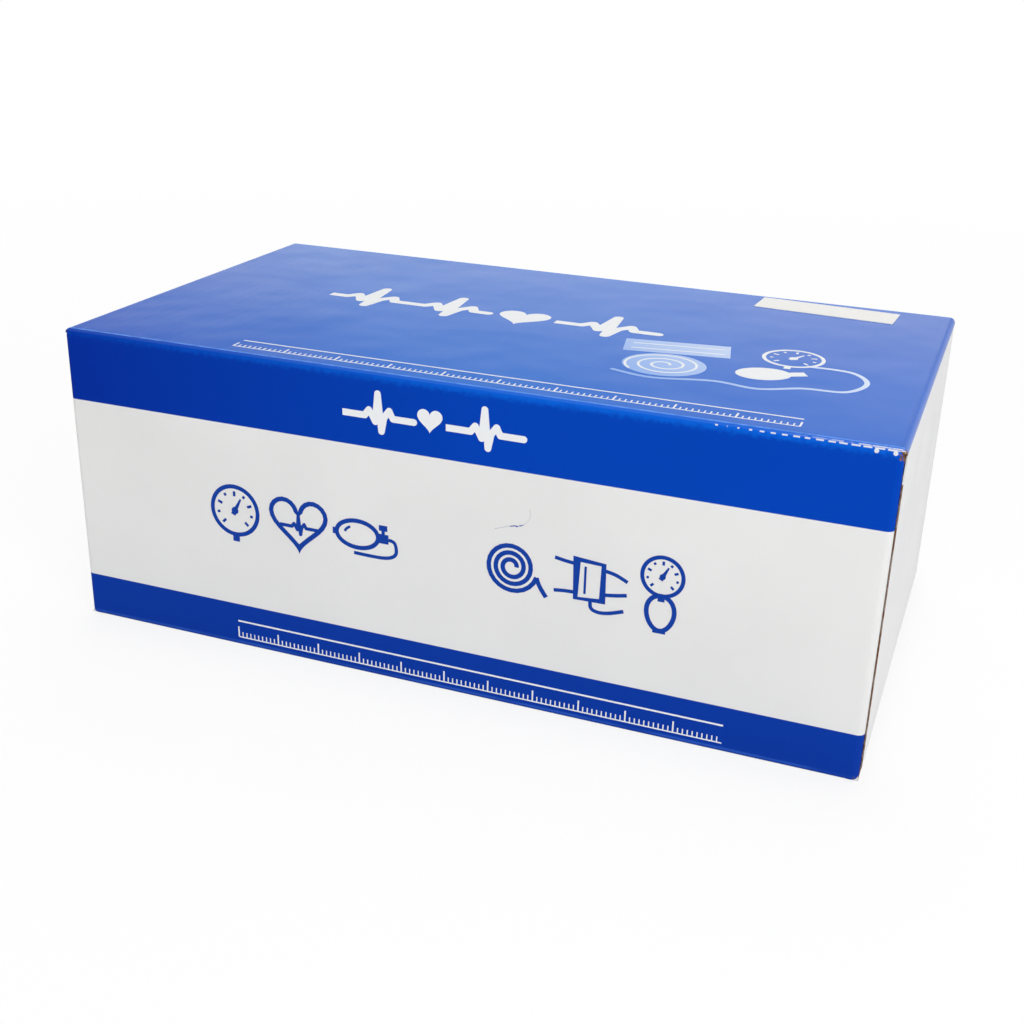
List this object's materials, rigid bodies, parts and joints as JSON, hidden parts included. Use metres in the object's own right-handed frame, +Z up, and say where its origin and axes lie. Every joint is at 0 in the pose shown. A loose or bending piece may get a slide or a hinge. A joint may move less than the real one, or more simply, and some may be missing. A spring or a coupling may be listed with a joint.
{
  "type": "boxed aneroid sphygmomanometer",
  "caption": "Closed printed carton with hinged tuck-in ends, holding a folded arm cuff, an inflation bulb with its release valve, a dial gauge and a coiled hose.",
  "frame": {"origin": "middle of the carton's base, on the surface that it stands on", "axes": "+X along the carton towards the end nearer the camera, the printed front faces -Y, +Z up"},
  "size_m": [0.195, 0.11, 0.0754],
  "materials": {
    "blue_board": "blue litho print on corrugated board, gloss varnished",
    "banded_board": "blue and white litho print on corrugated board, gloss varnished",
    "white_board": "white litho liner, gloss varnished, kraft inside",
    "label_paper": "plain white sticker",
    "cuff_cloth": "dark blue woven nylon",
    "hook_tape": "black hook tape",
    "loop_pile": "dark loop pile",
    "black_rubber": "matt black rubber",
    "black_plastic": "black moulded plastic",
    "white_plastic": "white moulded plastic",
    "chrome_trim": "polished chrome",
    "brass": "turned brass",
    "steel": "ground steel",
    "clear_lens": "clear moulded plastic",
    "dial_face": "white enamelled dial",
    "pointer_black": "black painted needle",
    "case_paint": "black painted case",
    "bronze": "beryllium bronze sheet"
  },
  "bodies": {
    "carton": {"top_panel": "blue_board", "front_panel": "banded_board", "back_panel": "banded_board", "bottom_panel": "white_board", "glue_flap": "white_board", "blank_label": "label_paper", "cuff": "cuff_cloth", "bladder": "black_rubber", "hook_strip": "hook_tape", "loop_strip": "loop_pile", "cuff_port": "black_plastic", "hose": "black_rubber", "bulb": "black_rubber", "tail_valve_body": "chrome_trim", "tail_cage_ring": "brass", "intake_filter": "steel", "valve_head": "chrome_trim", "ball_seat": "brass", "gauge_case": "case_paint", "gauge_bezel": "chrome_trim", "gauge_lens": "clear_lens", "lens_gasket": "black_rubber", "gauge_dial": "dial_face", "dial_posts": "brass", "dial_screws": "steel", "stem_nut": "brass", "capsule": "bronze", "capsule_seat": "brass", "movement_pillars": "brass", "plate_spacers": "brass", "movement_screws": "steel", "back_plate": "brass", "front_plate": "brass", "hairspring": "bronze", "spring_stud": "brass"},
    "right_flap": {"right_closure_flap": "white_board"},
    "right_tongue": {"right_tuck_tongue": "white_board"},
    "right_front_dust": {"right_front_dust_flap": "white_board"},
    "right_back_dust": {"right_back_dust_flap": "white_board"},
    "left_flap": {"left_closure_flap": "white_board"},
    "left_tongue": {"left_tuck_tongue": "white_board"},
    "left_front_dust": {"left_front_dust_flap": "white_board"},
    "left_back_dust": {"left_back_dust_flap": "white_board"},
    "valve_screw": {"valve_needle": "steel"},
    "knob": {"valve_knob": "chrome_trim"},
    "ball": {"check_ball": "steel"},
    "disc": {"tail_check_disc": "black_rubber"},
    "sector": {"sector_gear": "brass"},
    "needle": {"pointer_arbor": "steel", "pointer": "pointer_black"},
    "rocker": {"rocker_shaft": "steel"},
    "boss": {"lift_boss": "brass"}
  },
  "joints": [
    {"name": "right_flap_fold", "type": "hinge", "parent": "carton", "child": "right_flap", "pos_m": [0.0976, 0, 0.0735], "axis": [0, -1, 0], "range_deg": [0, 170]},
    {"name": "right_tongue_fold", "type": "hinge", "parent": "right_flap", "child": "right_tongue", "pos_m": [0.0959, 0, 0.00175], "axis": [0, -1, 0], "range_deg": [0, 60]},
    {"name": "right_front_dust_fold", "type": "hinge", "parent": "carton", "child": "right_front_dust", "pos_m": [0.0956, -0.0533, 0.036], "axis": [0, 0, -1], "range_deg": [0, 90]},
    {"name": "right_back_dust_fold", "type": "hinge", "parent": "carton", "child": "right_back_dust", "pos_m": [0.0956, 0.0533, 0.036], "axis": [0, 0, 1], "range_deg": [0, 90]},
    {"name": "left_flap_fold", "type": "hinge", "parent": "carton", "child": "left_flap", "pos_m": [-0.0976, 0, 0.0735], "axis": [0, 1, 0], "range_deg": [0, 170]},
    {"name": "left_tongue_fold", "type": "hinge", "parent": "left_flap", "child": "left_tongue", "pos_m": [-0.0959, 0, 0.00175], "axis": [0, 1, 0], "range_deg": [0, 60]},
    {"name": "left_front_dust_fold", "type": "hinge", "parent": "carton", "child": "left_front_dust", "pos_m": [-0.0956, -0.0533, 0.036], "axis": [0, 0, 1], "range_deg": [0, 90]},
    {"name": "left_back_dust_fold", "type": "hinge", "parent": "carton", "child": "left_back_dust", "pos_m": [-0.0956, 0.0533, 0.036], "axis": [0, 0, -1], "range_deg": [0, 90]},
    {"name": "valve_lift", "type": "slide", "parent": "carton", "child": "valve_screw", "axis": [0, 0, 1], "range_m": [0, 0.002]},
    {"name": "knob_turn", "type": "hinge", "parent": "valve_screw", "child": "knob", "pos_m": [0.0485, -0.0296, 0.0628], "axis": [0, 0, 1], "range_deg": [0, 720]},
    {"name": "ball_lift", "type": "slide", "parent": "carton", "child": "ball", "axis": [1, 0, 0], "range_m": [0, 0.0015]},
    {"name": "disc_lift", "type": "slide", "parent": "carton", "child": "disc", "axis": [1, 0, 0], "range_m": [0, 0.0015]},
    {"name": "sector_turn", "type": "hinge", "parent": "carton", "child": "sector", "pos_m": [0.0779, -0.01571, 0.0456], "axis": [1, 0, 0], "range_deg": [0, 36.47]},
    {"name": "pointer_turn", "type": "hinge", "parent": "carton", "child": "needle", "pos_m": [0.08, -0.0296, 0.0488], "axis": [1, 0, 0], "range_deg": [-310, 0], "deforming": ["hairspring"]},
    {"name": "rocker_turn", "type": "hinge", "parent": "carton", "child": "rocker", "pos_m": [0.0745, -0.0296, 0.0456], "axis": [0, 1, 0], "range_deg": [0, 22]},
    {"name": "boss_lift", "type": "slide", "parent": "carton", "child": "boss", "axis": [1, 0, 0], "range_m": [0, 0.0009], "deforming": ["capsule"]}
  ],
  "couplings": [
    {"joint": "right_tongue_fold", "follows": "right_flap_fold", "ratio": 0.3529},
    {"joint": "right_front_dust_fold", "follows": "right_flap_fold", "ratio": 0.5294},
    {"joint": "right_back_dust_fold", "follows": "right_flap_fold", "ratio": 0.5294},
    {"joint": "left_tongue_fold", "follows": "left_flap_fold", "ratio": 0.3529},
    {"joint": "left_front_dust_fold", "follows": "left_flap_fold", "ratio": 0.5294},
    {"joint": "left_back_dust_fold", "follows": "left_flap_fold", "ratio": 0.5294},
    {"joint": "knob_turn", "follows": "valve_lift", "rad_per_m": 6283.2},
    {"joint": "pointer_turn", "follows": "sector_turn", "ratio": -8.5},
    {"joint": "rocker_turn", "follows": "sector_turn", "ratio": 0.6032},
    {"joint": "boss_lift", "follows": "sector_turn", "m_per_rad": 0.001413}
  ]
}
